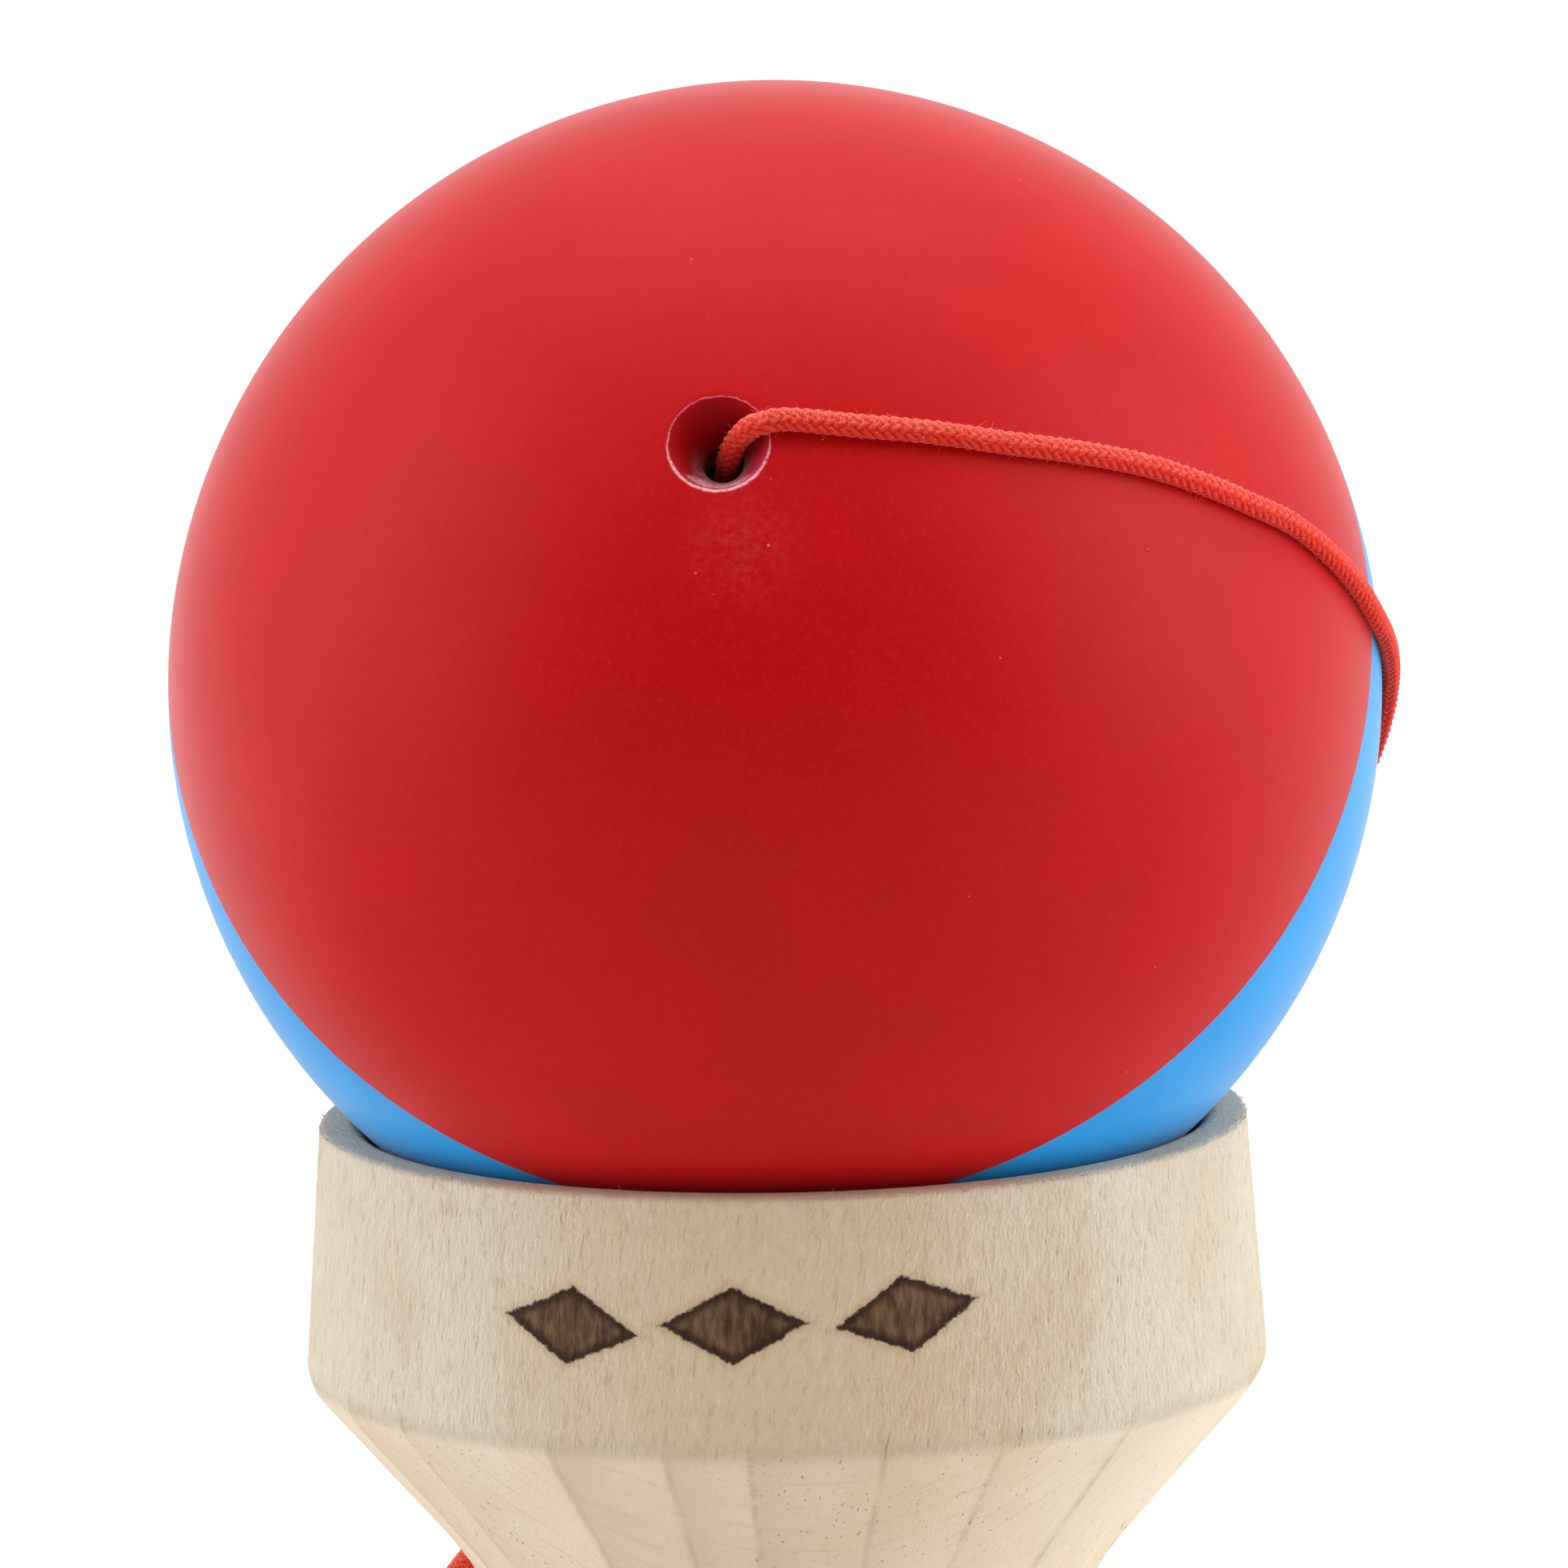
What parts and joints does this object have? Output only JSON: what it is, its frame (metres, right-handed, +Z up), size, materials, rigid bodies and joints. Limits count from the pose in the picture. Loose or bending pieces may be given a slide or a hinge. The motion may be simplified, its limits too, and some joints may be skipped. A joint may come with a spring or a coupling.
{
  "type": "kendama",
  "caption": "Wooden cup-and-ball toy standing on its small cup, with a two-colour ball on a string seated in the large cup.",
  "frame": {"origin": "centre of the small cup's rim, on the surface the toy stands on", "axes": "+Z up along the crosspiece's axis, from the small cup to the large cup; +X along the handle, towards the spike; -Y is the side the string enters the crosspiece and the ball's string hole faces"},
  "size_m": [0.165, 0.06, 0.1223],
  "materials": {
    "pale_wood": "bare, sanded",
    "handle_wood": "bare, sanded",
    "ball_wood": "bare, drilled",
    "red_paint": "soft-touch satin paint",
    "blue_paint": "soft-touch satin paint",
    "bead_wood": "bare",
    "red_cord": "braided"
  },
  "bodies": {
    "crosspiece_and_handle": {"crosspiece": "pale_wood", "handle": "handle_wood", "handle_knot": "red_cord", "string_in_crosspiece": "red_cord", "string_behind_cup": "red_cord", "string_over_handle": "red_cord", "string_coil": "red_cord", "string_rise": "red_cord"},
    "string_end": {"ball_bead": "bead_wood", "ball_knot": "red_cord", "string_in_ball": "red_cord", "string_over_ball": "red_cord"},
    "ball": {"ball_core": "ball_wood", "ball_red_coat": "red_paint", "ball_blue_coat": "blue_paint"}
  },
  "joints": [
    {"name": "ball_lift", "type": "slide", "parent": "crosspiece_and_handle", "child": "string_end", "axis": [0, 0, 1], "range_m": [0, 0.04], "deforming": ["string_behind_cup"]},
    {"name": "ball_spin", "type": "hinge", "parent": "string_end", "child": "ball", "pos_m": [0, 0, 0.09234], "axis": [-0.0822, -0.8532, 0.515], "continuous": true}
  ]
}
